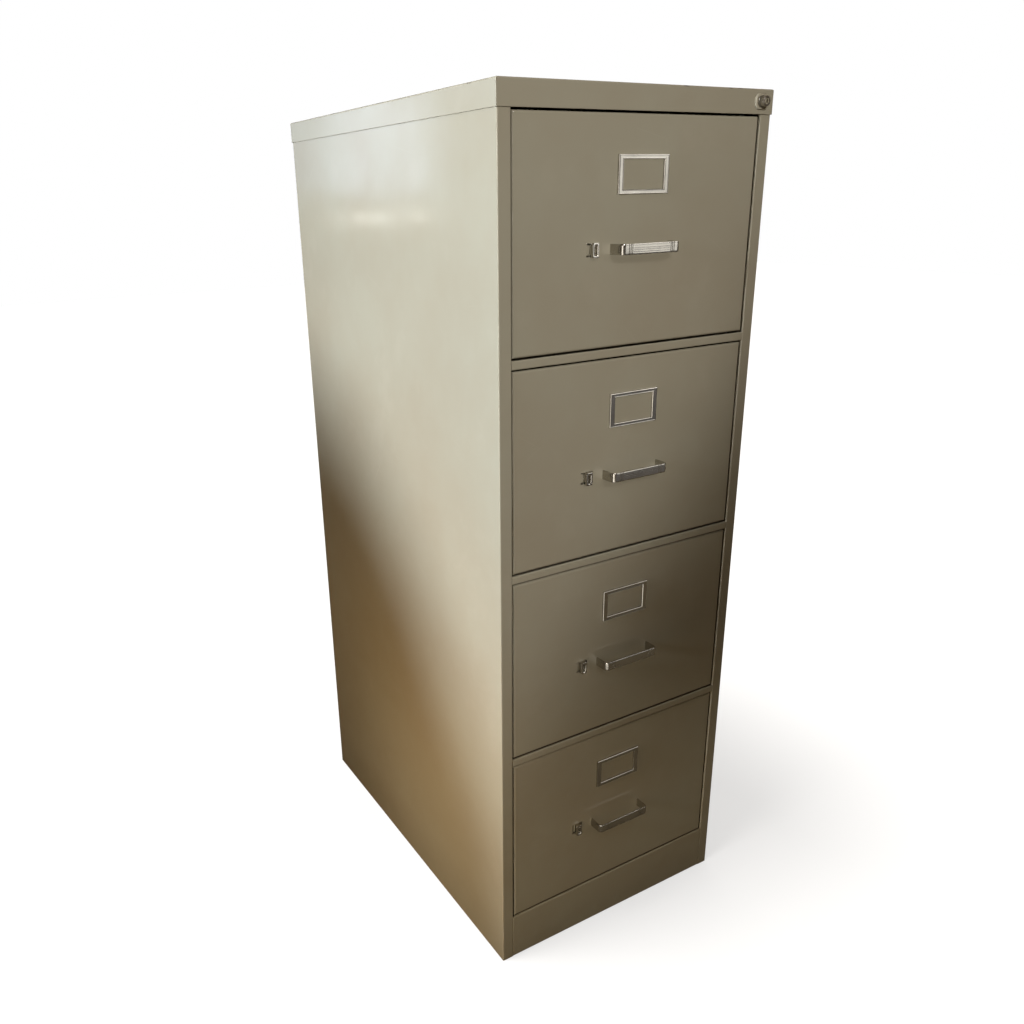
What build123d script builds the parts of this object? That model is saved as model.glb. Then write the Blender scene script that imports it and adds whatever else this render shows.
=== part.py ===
import os

from build123d import *

os.makedirs("parts", exist_ok=True)

# Four-drawer vertical file in folded sheet steel, legal width.
# X runs across the front, Y from the front to the back, Z up from the floor.
# The origin is the middle of the footprint, pulls included.

# Overall size
overall_width = 457.2
overall_depth = 673.1
overall_height = 1320.8
drawer_count = 4

# Sheet steel, and the outside radius of its visible bends
shell_sheet = 1.0
cap_sheet = 1.2
rail_sheet = 1.2
bend = 1.5
sharpest_inside_bend = 1.0
fit_gap = 0.3

# Case
post_width = 20.0
post_return = 30.0
post_lip = 9.0
cap_skirt = 32.0
cap_bend = 2.0
kick_height = 81.2
top_drawer_extra = 7.6
rail_height = 12.0
rail_top_depth = 45.0
rail_bottom_depth = 30.0
back_panel_lift = 1.5
back_panel_top_flange = 13.0
panel_flange = 18.0
floor_flange = 22.0
header_top_flange = 40.0
header_bottom_flange = 25.0
header_rise = 1.0
base_height = 60.0
base_bottom_flange = 40.0
base_top_flange = 30.0

# Drawer head
head_recess = 0.8
head_side_gap = 2.2
head_edge_gap = 2.5
head_depth = 20.0
head_bend = 3.0
liner_depth = 12.0
liner_gap = 0.1

# Pull, label frame and thumb latch, placed down from the top edge of the head
pull_drop = 165.0
pull_length = 102.0
pull_height = 14.0
pull_reach = 24.5
pull_strap = 3.0
pull_bend = 7.0
pull_groove = 0.8
pull_groove_places = (12.0, 16.0)
label_drop = 73.0
label_width = 86.0
label_height = 49.0
label_window_width = 68.0
label_window_height = 36.5
label_rise = 3.2
label_slot = 1.0
label_card_margin = 3.5
latch_offset = -80.0
latch_width = 11.0
latch_height = 19.0
latch_reach = 7.5
latch_wall = 1.5
latch_corner = 1.2
latch_travel = 4.5
latch_shank = 8.0
latch_slot_height = 17.0
latch_slot_left = 4.0
latch_slot_right = 2.0
latch_bar = 2.0
latch_bar_height = 13.0
latch_bar_depth = 4.0
latch_nose = 1.6
strike_margin = 1.5

# Drawer body
tray_sheet = 1.0
tray_height = 190.0
tray_hem = 6.0
tray_hem_drop = 5.0
tray_lift = 6.0
rib_width = 28.0
rib_height = 6.0
rib_slope = 4.0
back_drop = 20.0
back_flange = 12.0

# Follower that stands behind the papers
follower_sheet = 1.2
follower_height = 215.0
follower_lean = 38.0
follower_foot = 60.0
follower_hook = 14.0
follower_hook_drop = 8.0
follower_side_gap = 4.0
follower_rear_room = 42.0
follower_slot_length = 90.0
follower_slot_height = 24.0
follower_slot_drop = 34.0
shoe_margin = 1.3
shoe_flange = 10.0

# Suspension, built in from the case to the drawer side
drawer_travel = 600.0
channel_sheet = 1.2
channel_depth = 6.4
channel_inset = 0.5
channel_rise = 70.0
channel_rear_gap = 30.7
case_channel_start = 42.0
drawer_channel_start = 26.0
cradle_sheet = 1.5
cradle_height = 26.0
cradle_start = 34.0
cradle_rear_gap = 18.0
cradle_end_cut = 7.0
cradle_gap = 0.4
cradle_tie_lift = 2.0
cradle_tie_width = 24.0
roller_radius = 13.0
roller_gap = 0.3
roller_end_gap = 1.0
roller_inset = 16.0
stop_gap = 3.8
stop_margin = 1.0
upright_insets = (88.0, 90.7)
upright_face = 36.0
upright_slope = 2.0
upright_foot = 10.0
upright_floor_gap = 20.0
upright_top_gap = 14.0
bumper_side = 13.0
bumper_length = 10.0
bumper_spread = 150.0
bumper_rise = 100.0
bumper_gap = 0.6

# Lock
lock_inset = 20.6
lock_body_radius = 9.5
lock_body_depth = 20.0
lock_bezel_radius = 12.0
lock_bezel = 1.8
lock_bezel_edge = 1.0
plunger_radius = 6.8
plunger_reach = 8.0
plunger_travel = 9.0
plunger_edge = 0.7
plunger_tail = 4.0
wedge_run = 9.0
wedge_half_height = 4.3
wedge_side_gap = 2.0
plug_radius = 4.2
plug_depth = 14.0
plug_recess = 0.4
keyway_width = 1.4
keyway_height = 6.4
keyway_depth = 9.8
bar_sheet = 3.0
bar_width = 12.0
bar_lip_share = 0.4
bar_gap = 4.0
shoulder_height = 16.0
shoulder_lead = 2.5
tab_rise = 165.0
tab_height = 10.0
tab_reach = 7.0
lug_rise = 150.0
lug_height = 12.0
lug_reach = 11.0
lug_plate = 30.0
lug_gap = 3.0
guide_sheet = 1.2
guide_rise = 224.0
guide_height = 15.0
guide_flange = 16.0
guide_gap = 0.4
guide_lead = 2.5

# Places worked out from the sizes above
half_width = overall_width / 2 - cap_sheet
body_depth = overall_depth - 2 * cap_sheet
front = (pull_reach - head_recess - body_depth - cap_sheet) / 2
back = front + body_depth
inner_back = back - 2 * shell_sheet
panel_inside = half_width - shell_sheet
opening_half = half_width - post_width
opening_top = overall_height - cap_skirt
under_cap = overall_height - cap_sheet
under_flange = under_cap - shell_sheet
head_face = front + head_recess
head_back = head_face + head_depth
head_half = opening_half - head_side_gap
drawer_pitch = (opening_top - top_drawer_extra + rail_height - kick_height) / drawer_count
rail_tops = [kick_height + drawer_pitch * (drawer_count - 1 - n) for n in range(drawer_count)]
case_web = opening_half + channel_inset
case_flange_tip = case_web - channel_depth
cradle_outside = case_flange_tip - cradle_gap
cradle_inside = cradle_outside - cradle_sheet
drawer_flange_tip = cradle_inside - cradle_gap
tray_half = drawer_flange_tip - channel_depth
tray_back = inner_back - bumper_length - bumper_gap
channel_half = roller_radius + roller_gap + channel_sheet
roller_width = channel_depth - channel_sheet + cradle_gap - roller_end_gap
channel_end = back - channel_rear_gap
latch_bar_y = (head_face + latch_bar_depth, head_face + latch_bar_depth + latch_bar)
lock_x = half_width - lock_inset
lock_z = overall_height - cap_skirt / 2
bar_inside = opening_half + post_lip * bar_lip_share
bar_outside = bar_inside + bar_width
bar_front = front + post_return + bar_gap
bar_back = bar_front + bar_sheet


def block(x_range, y_range, z_range):
    """Box between two corners."""
    size = [abs(b - a) for a, b in (x_range, y_range, z_range)]
    centre = [(a + b) / 2 for a, b in (x_range, y_range, z_range)]
    return Pos(*centre) * Box(*size)


def around(middle, size):
    """Range of the given size about its middle."""
    return middle - size / 2, middle + size / 2


def bent_section(points, thickness, radius=0.0):
    """Section of bent sheet whose one face follows the points.

    The sheet lies on the left of the points, or on the right if its thickness is negative.
    The radius is the outside one of each bend; a tight inside is left sharp.
    """
    corners = [Vector(*point) for point in points]
    runs = [(b - a).normalized() for a, b in zip(corners, corners[1:])]
    lefts = [Vector(-run.Y, run.X) for run in runs]
    inside = radius - abs(thickness)
    inside = inside if inside >= sharpest_inside_bend else 0.0
    far = [corners[0] + lefts[0] * thickness]
    near_radii, far_radii = [], []
    for i in range(1, len(corners) - 1):
        share = thickness / (1 + lefts[i - 1].dot(lefts[i]))
        far.append(corners[i] + (lefts[i - 1] + lefts[i]) * share)
        near_is_outside = (runs[i - 1].cross(runs[i]).Z > 0) == (thickness > 0)
        near_radii.append(radius if near_is_outside else inside)
        far_radii.append(inside if near_is_outside else radius)
    far.append(corners[-1] + lefts[-1] * thickness)
    sides = [FilletPolyline(*corners, radius=near_radii), FilletPolyline(*far, radius=far_radii)]
    ends = [Line(corners[0], far[0]), Line(corners[-1], far[-1])]
    return make_face([edge for line in sides + ends for edge in line.edges()])


def along_x(section, start, end):
    """Extrude a section drawn in Y and Z."""
    return extrude(Plane.YZ.offset(start) * section, amount=end - start)


def along_y(section, start, end):
    """Extrude a section drawn in X and Z."""
    plane = Plane(origin=(0, end, 0), x_dir=(1, 0, 0), z_dir=(0, -1, 0))
    return extrude(plane * section, amount=end - start)


def along_z(section, start, end):
    """Extrude a section drawn in X and Y."""
    return extrude(Plane.XY.offset(start) * section, amount=end - start)


def rod_y(radius, x, z, start, end):
    """Round bar along Y."""
    return Pos(x, (start + end) / 2, z) * Rot(90, 0, 0) * Cylinder(radius, end - start)


def front_edges(solid):
    """Edges round the face that looks along -Y."""
    return solid.faces().sort_by(Axis.Y)[0].edges()


def folded_pan(width, height, depth, thickness, radius):
    """Shallow pan: the closed face is at y = 0 and looks along -Y, the walls run back."""
    outer = Pos(0, depth / 2, 0) * Box(width, depth, height)
    inner = Pos(0, thickness, 0) * Pos(0, depth / 2, 0) * Box(
        width - 2 * thickness, depth, height - 2 * thickness
    )
    if radius - thickness >= sharpest_inside_bend:
        inner = fillet(front_edges(inner), radius - thickness)
    return fillet(front_edges(outer), radius) - inner


def both_sides(solid):
    """A solid and its mirror image on the other side of the case."""
    return [solid, mirror(solid, about=Plane.YZ)]


def save(name, solids):
    """Write one sub-part, which may be several separate solids."""
    solids = solids if isinstance(solids, list) else [solids]
    pieces = [piece for solid in solids for piece in solid.solids()]
    export_step(Compound(children=pieces), f"parts/{name}.step")


def opening_above(n):
    """Height of the underside of what lies over drawer n."""
    return opening_top if n == 0 else rail_tops[n - 1] - rail_height


def head_size(n):
    """Bottom and top of the head of drawer n."""
    return rail_tops[n] + head_edge_gap, opening_above(n) - head_edge_gap


def pull_z(n):
    """Height of the middle of the pull and latch of drawer n."""
    return head_size(n)[1] - pull_drop


# Case


def side_panel():
    """Right side panel: side, front post with its return, back flange, top and floor flanges."""
    outline = [
        (half_width - panel_flange, back),
        (half_width, back),
        (half_width, front),
        (opening_half, front),
        (opening_half, front + post_return),
        (opening_half + post_lip, front + post_return),
    ]
    panel = along_z(bent_section(outline, -shell_sheet, bend), 0, under_flange)
    run = (front + post_return, inner_back)
    panel += block((half_width - panel_flange, half_width), run, (under_flange, under_cap))
    panel += block((half_width - floor_flange, half_width), run, (0, shell_sheet))
    header_room = block(
        (opening_half - 1, panel_inside),
        (front + shell_sheet, front + post_return + 1),
        (opening_top + header_rise - fit_gap, overall_height),
    )
    return panel - header_room


def lock_hole():
    """Round hole for the lock body through the cap, the post and the header."""
    return rod_y(lock_body_radius + fit_gap, lock_x, lock_z, front - 5, front + 5)


def strike_slot(n):
    """Slot in the left post's return for the nose of the latch of drawer n."""
    return block(
        (-opening_half - 2 * shell_sheet, -opening_half + 1),
        (latch_bar_y[0] - strike_margin, latch_bar_y[1] + strike_margin),
        around(pull_z(n), latch_bar_height + 2 * strike_margin),
    )


def front_rail(top, height):
    """Rolled channel across the front, closed at the front."""
    outline = [
        (front + rail_top_depth, top),
        (front, top),
        (front, top - height),
        (front + rail_bottom_depth, top - height),
    ]
    return along_x(bent_section(outline, rail_sheet, bend), -opening_half, opening_half)


def make_shell():
    """Side panels, back, cap, header, rails, kick plate and rear base channel."""
    right = side_panel()
    left = mirror(right, about=Plane.YZ)
    for n in range(drawer_count):
        left -= strike_slot(n)
    save("side_panel_left", left)
    save("side_panel_right", right - lock_hole())

    wall = back - shell_sheet
    top = under_flange - fit_gap
    outline = [(wall, back_panel_lift), (wall, top), (wall - back_panel_top_flange, top)]
    reach = panel_inside - fit_gap
    save("back_panel", along_x(bent_section(outline, shell_sheet), -reach, reach))

    cap = folded_pan(overall_width, overall_depth, cap_skirt, cap_sheet, cap_bend)
    cap = Pos(0, (front + back) / 2, overall_height) * Rot(-90, 0, 0) * cap
    save("top_cap", cap - lock_hole())

    web = front + shell_sheet
    bottom = opening_top + header_rise
    outline = [
        (web + header_top_flange, under_flange),
        (web, under_flange),
        (web, bottom),
        (web + header_bottom_flange, bottom),
    ]
    header = along_x(bent_section(outline, rail_sheet), -reach, reach)
    save("top_header", header - lock_hole())

    save("cross_rails", [front_rail(top, rail_height) for top in rail_tops[:-1]])
    save("kick_plate", front_rail(kick_height, kick_height))

    outline = [
        (inner_back - base_bottom_flange, 0),
        (inner_back, 0),
        (inner_back, base_height),
        (inner_back - base_top_flange, base_height),
    ]
    reach = half_width - floor_flange - fit_gap
    save("rear_base_channel", along_x(bent_section(outline, rail_sheet), -reach, reach))


def case_channel(z):
    """Right case channel, open towards the drawer, with a turned-in stop at its front end."""
    outline = [
        (case_flange_tip, z - channel_half),
        (case_web, z - channel_half),
        (case_web, z + channel_half),
        (case_flange_tip, z + channel_half),
    ]
    start = front + case_channel_start
    stop = block(
        (case_flange_tip + stop_margin, case_web - channel_sheet),
        (start, start + channel_sheet),
        (z - channel_half + channel_sheet, z - roller_radius / 2),
    )
    return along_y(bent_section(outline, channel_sheet), start, channel_end) + stop


def make_supports():
    """Hat-section uprights, case channels and rubber bumpers."""
    uprights = []
    for y in (front + upright_insets[0], back - upright_insets[1]):
        web = case_web + shell_sheet
        half = upright_face / 2
        outline = [
            (panel_inside, y - half - upright_slope - upright_foot),
            (panel_inside, y - half - upright_slope),
            (web, y - half),
            (web, y + half),
            (panel_inside, y + half + upright_slope),
            (panel_inside, y + half + upright_slope + upright_foot),
        ]
        section = bent_section(outline, shell_sheet)
        upright = along_z(section, upright_floor_gap, opening_top - upright_top_gap)
        uprights += both_sides(upright)
    save("uprights", uprights)

    channels, bumpers = [], []
    for top in rail_tops:
        channels += both_sides(case_channel(top + channel_rise))
        bumper = block(
            around(bumper_spread, bumper_side),
            (inner_back - bumper_length, inner_back),
            around(top + bumper_rise, bumper_side),
        )
        bumpers += both_sides(bumper)
    save("case_channels", channels)
    save("rear_bumpers", bumpers)


# Lock


def make_lock():
    """Plunger lock in the cap, with its key plug."""
    face = front - cap_sheet - lock_bezel
    body = rod_y(lock_body_radius, lock_x, lock_z, face, front + lock_body_depth)
    bezel = rod_y(lock_bezel_radius, lock_x, lock_z, face, front - cap_sheet)
    bezel = chamfer(front_edges(bezel), lock_bezel_edge)
    bore_radius = plunger_radius + fit_gap
    bore = rod_y(bore_radius, lock_x, lock_z, face - 1, front + lock_body_depth + 1)
    save("lock_housing", body + bezel - bore)

    nose = face - plunger_reach
    tail = front + lock_body_depth + plunger_tail
    plunger = rod_y(plunger_radius, lock_x, lock_z, nose, tail)
    plunger = chamfer(front_edges(plunger), plunger_edge)
    plug_hole = rod_y(
        plug_radius + fit_gap, lock_x, lock_z, nose - 1, nose + plug_depth + fit_gap
    )
    save("lock_plunger", [plunger - plug_hole, plunger_wedge(tail)])

    plug = rod_y(plug_radius, lock_x, lock_z, nose + plug_recess, nose + plug_depth)
    keyway = block(
        around(lock_x, keyway_width),
        (nose - 1, nose + keyway_depth),
        around(lock_z, keyway_height),
    )
    save("lock_plug", plug - keyway)
    make_lock_bar(tail)


def plunger_wedge(tail):
    """Wedge riveted behind the plunger, whose sloping end pushes the bar down."""
    low, high = lock_z - wedge_half_height, lock_z + wedge_half_height
    tip = tail + wedge_run
    outline = Polyline(
        (tail, low),
        (tip, low),
        (tip + high - low, high),
        (tail, high),
        close=True,
    )
    return along_x(make_face(outline), lock_x - wedge_half_height, bar_outside - wedge_side_gap)


def make_lock_bar(tail):
    """Bar with a sloping shoulder on its top and a tab per drawer, and its guides."""
    wedge_low = lock_z - wedge_half_height
    bar_top = wedge_low - shoulder_height
    shoulder_front = bar_front - shoulder_lead
    shoulder_back = shoulder_front + plunger_travel + 1
    slope = wedge_low - tail - wedge_run - fit_gap * 2**0.5
    shoulder = Polyline(
        (shoulder_front, bar_top),
        (shoulder_back, bar_top),
        (shoulder_back, shoulder_back + slope),
        (shoulder_front, shoulder_front + slope),
        close=True,
    )
    bar_x = (bar_inside, bar_outside)
    bar_y = (bar_front, bar_back)
    bar_low = rail_tops[-1] + tab_rise - tab_height
    bar = [block(bar_x, bar_y, (bar_low, bar_top)), along_x(make_face(shoulder), *bar_x)]
    for top in rail_tops:
        tab_z = (top + tab_rise, top + tab_rise + tab_height)
        bar.append(block((opening_half - tab_reach, bar_inside), bar_y, tab_z))
    save("lock_bar", bar)

    behind = bar_back + guide_gap
    inside = bar_inside - guide_gap
    outline = [
        (inside, front + post_return + guide_lead),
        (inside, behind),
        (panel_inside, behind),
        (panel_inside, behind + guide_flange),
    ]
    section = bent_section(outline, guide_sheet)
    guides = [
        along_z(section, top + guide_rise, top + guide_rise + guide_height) for top in rail_tops
    ]
    save("lock_bar_guides", guides)


# Drawers


def make_head(n):
    """Outer pan of the drawer head, with the slots for the latch, and the liner behind it."""
    low, high = head_size(n)
    centre = (low + high) / 2
    head = folded_pan(2 * head_half, high - low, head_depth, shell_sheet, head_bend)
    head = Pos(0, head_face, centre) * head
    slot_x = (
        latch_offset - latch_width / 2 - latch_slot_left,
        latch_offset + latch_shank / 2 + latch_travel + latch_slot_right,
    )
    slot_y = (head_face - 1, head_face + shell_sheet + 1)
    head -= block(slot_x, slot_y, around(pull_z(n), latch_slot_height))
    head -= block(
        (-head_half - 1, -head_half + 2 * shell_sheet),
        (latch_bar_y[0] - latch_bar / 4, latch_bar_y[1] + latch_bar / 4),
        around(pull_z(n), latch_bar_height + 1),
    )
    save(f"drawer_{n + 1}_head", head)

    width = 2 * (head_half - shell_sheet - liner_gap)
    height = high - low - 2 * (shell_sheet + liner_gap)
    liner = folded_pan(width, height, liner_depth, shell_sheet, bend)
    save(f"drawer_{n + 1}_liner", Pos(0, head_back, centre) * Rot(0, 0, 180) * liner)


def make_pull(n):
    """Strap pull: bar, two bent legs, and two fine cross grooves near each end of the bar."""
    half = pull_length / 2
    outer = head_face - pull_reach
    outline = [(-half, head_face), (-half, outer), (half, outer), (half, head_face)]
    low, high = around(pull_z(n), pull_height)
    pull = along_z(bent_section(outline, pull_strap, pull_bend), low, high)
    for place in pull_groove_places:
        groove = block(
            around(half - place, pull_groove),
            (outer - 1, outer + pull_groove / 2),
            (low - 1, high + 1),
        )
        for cut in both_sides(groove):
            pull -= cut
    save(f"drawer_{n + 1}_pull", pull)


def make_label_frame(n):
    """Stamped label frame with rounded rails and a card pocket open on the right."""
    middle = Pos(0, -label_rise / 2, 0)
    plate = middle * Box(label_width, label_rise, label_height)
    window = middle * Box(label_window_width, 2 * label_rise, label_window_height)
    frame = fillet(front_edges(plate), label_rise * 0.7) - window
    rim = frame.faces().sort_by(Axis.Y)[0].inner_wires()[0].edges()
    frame = chamfer(rim, label_rise * 0.3)
    pocket_half = label_window_width / 2 + label_card_margin
    pocket_height = label_window_height + 2 * label_card_margin
    frame -= block(
        (-pocket_half, label_width), (-label_slot, 1), around(0, pocket_height)
    )
    height = head_size(n)[1] - label_drop
    save(f"drawer_{n + 1}_label_frame", Pos(0, head_face, height) * frame)


def make_latch(n):
    """Thumb cup, its shank through the head, and the bar whose nose reaches the left post."""
    outer = head_face - latch_reach
    base = head_face - fit_gap
    cup_x = around(latch_offset, latch_width)
    cup_z = around(pull_z(n), latch_height)
    cup = block(cup_x, (outer, base), cup_z)
    cup = chamfer(cup.edges().filter_by(Axis.Y), latch_corner)
    cup -= block(
        around(latch_offset, latch_width - 2 * latch_wall),
        (outer - 1, base - latch_wall),
        around(pull_z(n), latch_height - 2 * latch_wall),
    )
    bar_z = around(pull_z(n), latch_bar_height)
    shank_x = around(latch_offset, latch_shank)
    latch = cup + block(shank_x, (base - latch_wall / 2, latch_bar_y[1]), bar_z)
    latch += block((-head_half - latch_nose, shank_x[1]), latch_bar_y, bar_z)
    save(f"drawer_{n + 1}_thumb_latch", latch)


def make_tray(n):
    """Drawer bottom and sides from one sheet, with hems and a pressed rib, and the back."""
    low = rail_tops[n] + tray_lift
    top = low + tray_height
    half = rib_width / 2
    hem = tray_half + tray_hem - tray_sheet
    left = [
        (-hem, top - tray_hem_drop),
        (-hem, top - tray_sheet),
        (-tray_half, top - tray_sheet),
        (-tray_half, low),
        (-half - rib_slope, low),
        (-half, low + rib_height),
    ]
    outline = left + [(-x, z) for x, z in reversed(left)]
    tray = along_y(bent_section(outline, tray_sheet), head_back, tray_back)
    save(f"drawer_{n + 1}_tray", tray)

    plate_top = top - back_drop
    plate_low = low + tray_sheet + fit_gap
    outline = [
        (tray_back, plate_low),
        (tray_back, plate_top),
        (tray_back - back_flange, plate_top),
    ]
    reach = tray_half - tray_sheet - fit_gap
    plate = along_x(bent_section(outline, tray_sheet), -reach, reach)
    rib_room = block(
        around(0, rib_width + 2 * (rib_slope + 1)),
        (tray_back - 2 * tray_sheet, tray_back + 1),
        (plate_low - 1, plate_low + rib_height),
    )
    save(f"drawer_{n + 1}_back", plate - rib_room)


def make_follower(n):
    """Leaning plate on a foot, with a shoe over the rib and a finger slot near its top."""
    floor = rail_tops[n] + tray_lift + tray_sheet + fit_gap
    top = floor + follower_height
    toe = tray_back - tray_sheet - follower_rear_room - follower_foot
    head = toe + follower_lean
    outline = [
        (toe + follower_foot, floor),
        (toe, floor),
        (head, top),
        (head + follower_hook, top),
        (head + follower_hook, top - follower_hook_drop),
    ]
    reach = tray_half - tray_sheet - follower_side_gap
    plate = along_x(bent_section(outline, -follower_sheet), -reach, reach)

    rib_top = floor + rib_height
    inner_half = rib_width / 2 + shoe_margin
    outer_half = inner_half + rib_slope
    notch = outer_half + shoe_margin * 2
    plate -= block(
        (-notch, notch),
        (toe - follower_sheet, toe + follower_foot + 1),
        (floor - 1, rib_top + 2 * follower_sheet),
    )
    left = [(-notch - shoe_flange, floor), (-outer_half, floor), (-inner_half, rib_top)]
    shoe = bent_section(left + [(-x, z) for x, z in reversed(left)], follower_sheet)
    shoe_start = toe + follower_sheet * 4
    plate += along_y(shoe, shoe_start, toe + follower_foot)

    slot = SlotOverall(follower_slot_length, follower_slot_height)
    finger = extrude(Plane.XZ * slot, amount=follower_foot / 2, both=True)
    slot_z = top - follower_slot_drop
    slot_y = toe + follower_lean * (slot_z - floor) / follower_height
    save(f"drawer_{n + 1}_follower", plate - Pos(0, slot_y, slot_z) * finger)


def drawer_channel(z):
    """Right drawer channel, open towards the case, with a turned-in stop at its rear end."""
    outline = [
        (drawer_flange_tip, z + channel_half),
        (tray_half, z + channel_half),
        (tray_half, z - channel_half),
        (drawer_flange_tip, z - channel_half),
    ]
    channel = along_y(
        bent_section(outline, channel_sheet), front + drawer_channel_start, channel_end
    )
    stop = block(
        (tray_half + channel_sheet, drawer_flange_tip - stop_margin),
        (channel_end - channel_sheet, channel_end),
        (z + roller_radius / 2, z + channel_half - channel_sheet),
    )
    return channel + stop


def lock_lug(n):
    """Angle on the right of the drawer that the lock bar's tab drops in front of."""
    start = bar_back + lug_gap
    outline = [(tray_half, start + lug_plate), (tray_half, start), (tray_half + lug_reach, start)]
    low = rail_tops[n] + lug_rise
    return along_z(bent_section(outline, channel_sheet), low, low + lug_height)


def cradle_arm(start, end, z):
    """Flat strip with cut corners that carries the rollers."""
    low, high = around(z, cradle_height)
    cut = cradle_end_cut
    outline = Polyline(
        (start, low + cut),
        (start + cut, low),
        (end - cut, low),
        (end, low + cut),
        (end, high - cut),
        (end - cut, high),
        (start + cut, high),
        (start, high - cut),
        close=True,
    )
    return along_x(make_face(outline), cradle_inside, cradle_outside)


def make_suspension(n):
    """Drawer channels, the cradle that joins both sides, and its eight rollers."""
    z = rail_tops[n] + channel_rise
    save(f"drawer_{n + 1}_channels", both_sides(drawer_channel(z)) + [lock_lug(n)])

    start = front + cradle_start
    end = channel_end - cradle_rear_gap
    arm = cradle_arm(start, end, z)
    tie_low = rail_tops[n] + cradle_tie_lift
    outline = [
        (-cradle_outside, z),
        (-cradle_outside, tie_low),
        (cradle_outside, tie_low),
        (cradle_outside, z),
    ]
    tie_end = end - cradle_end_cut
    tie = along_y(bent_section(outline, cradle_sheet), tie_end - cradle_tie_width, tie_end)
    save(f"drawer_{n + 1}_cradle", arm + mirror(arm, about=Plane.YZ) + tie)

    # At full travel the middle rollers reach the stops in both channels together.
    stop_reach = channel_sheet + stop_gap + roller_radius + drawer_travel / 2
    drawer_side = (start + roller_inset, channel_end - stop_reach)
    case_side = (front + case_channel_start + stop_reach, end - roller_inset)
    roller = Rot(0, 90, 0) * Cylinder(roller_radius, roller_width)
    rollers = []
    for y in drawer_side:
        rollers += both_sides(Pos(cradle_inside - roller_width / 2, y, z) * roller)
    for y in case_side:
        rollers += both_sides(Pos(cradle_outside + roller_width / 2, y, z) * roller)
    save(f"drawer_{n + 1}_rollers", rollers)


make_shell()
make_supports()
make_lock()
for drawer in range(drawer_count):
    make_head(drawer)
    make_pull(drawer)
    make_label_frame(drawer)
    make_latch(drawer)
    make_tray(drawer)
    make_follower(drawer)
    make_suspension(drawer)
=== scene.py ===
import math
from functools import partial
from itertools import product

import bmesh
import bpy
from mathutils import Matrix, Vector


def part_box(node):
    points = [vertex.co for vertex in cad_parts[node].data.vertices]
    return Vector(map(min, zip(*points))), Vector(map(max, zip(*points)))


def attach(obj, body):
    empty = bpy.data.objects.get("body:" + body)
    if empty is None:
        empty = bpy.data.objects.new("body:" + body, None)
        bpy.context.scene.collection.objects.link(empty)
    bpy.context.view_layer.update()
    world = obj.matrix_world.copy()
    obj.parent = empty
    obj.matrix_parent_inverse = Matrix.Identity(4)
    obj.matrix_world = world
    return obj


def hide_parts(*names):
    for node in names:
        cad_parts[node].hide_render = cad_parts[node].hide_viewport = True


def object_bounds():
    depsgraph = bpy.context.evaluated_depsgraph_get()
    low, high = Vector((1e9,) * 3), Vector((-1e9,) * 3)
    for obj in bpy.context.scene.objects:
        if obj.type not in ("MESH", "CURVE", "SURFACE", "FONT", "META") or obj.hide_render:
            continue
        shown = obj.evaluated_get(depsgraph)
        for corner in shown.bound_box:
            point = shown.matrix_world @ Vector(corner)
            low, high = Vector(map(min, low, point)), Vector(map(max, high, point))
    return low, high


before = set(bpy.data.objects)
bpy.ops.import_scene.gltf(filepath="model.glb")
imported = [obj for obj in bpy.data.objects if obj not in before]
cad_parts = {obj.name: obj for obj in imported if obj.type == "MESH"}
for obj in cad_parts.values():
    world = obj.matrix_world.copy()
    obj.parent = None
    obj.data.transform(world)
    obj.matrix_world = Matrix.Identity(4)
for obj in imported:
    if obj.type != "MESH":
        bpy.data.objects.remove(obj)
cadLow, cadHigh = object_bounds()
mm = 0.001
drawers = (1, 2, 3, 4)
print("frame loaded")


# Small helpers

def hexColor(code):
    # sRGB hex to linear colour
    parts = [int(code[i:i + 2], 16) / 255 for i in (0, 2, 4)]
    return [p / 12.92 if p <= 0.04045 else ((p + 0.055) / 1.055) ** 2.4 for p in parts] + [1.0]


def addNode(tree, kind, inputs=None, output=0, **settings):
    # one node with its settings; an input given as a socket, or a list of them, becomes a link
    node = tree.nodes.new(kind)
    for name, value in settings.items():
        setattr(node, name, value)
    for key, value in (inputs or {}).items():
        sources = value if isinstance(value, list) else [value]
        if isinstance(sources[0], bpy.types.NodeSocket):
            for source in sources:
                tree.links.new(source, node.inputs[key])
        else:
            node.inputs[key].default_value = value
    return node.outputs[output] if node.outputs else None


def startMaterial(name):
    material = bpy.data.materials.new(name)
    material.use_nodes = True
    tree = material.node_tree
    tree.nodes.clear()
    add = partial(addNode, tree)
    return material, add, add("ShaderNodeTexCoord", output="Object")


def coat(add, finish):
    # patterns are linked to the shader, and what is the same all over is set on its own sockets
    add("ShaderNodeOutputMaterial", {"Surface": add("ShaderNodeBsdfPrincipled", finish)})


# Materials. A pattern's scale is cycles per metre, worked out from its size on the sheet

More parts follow.
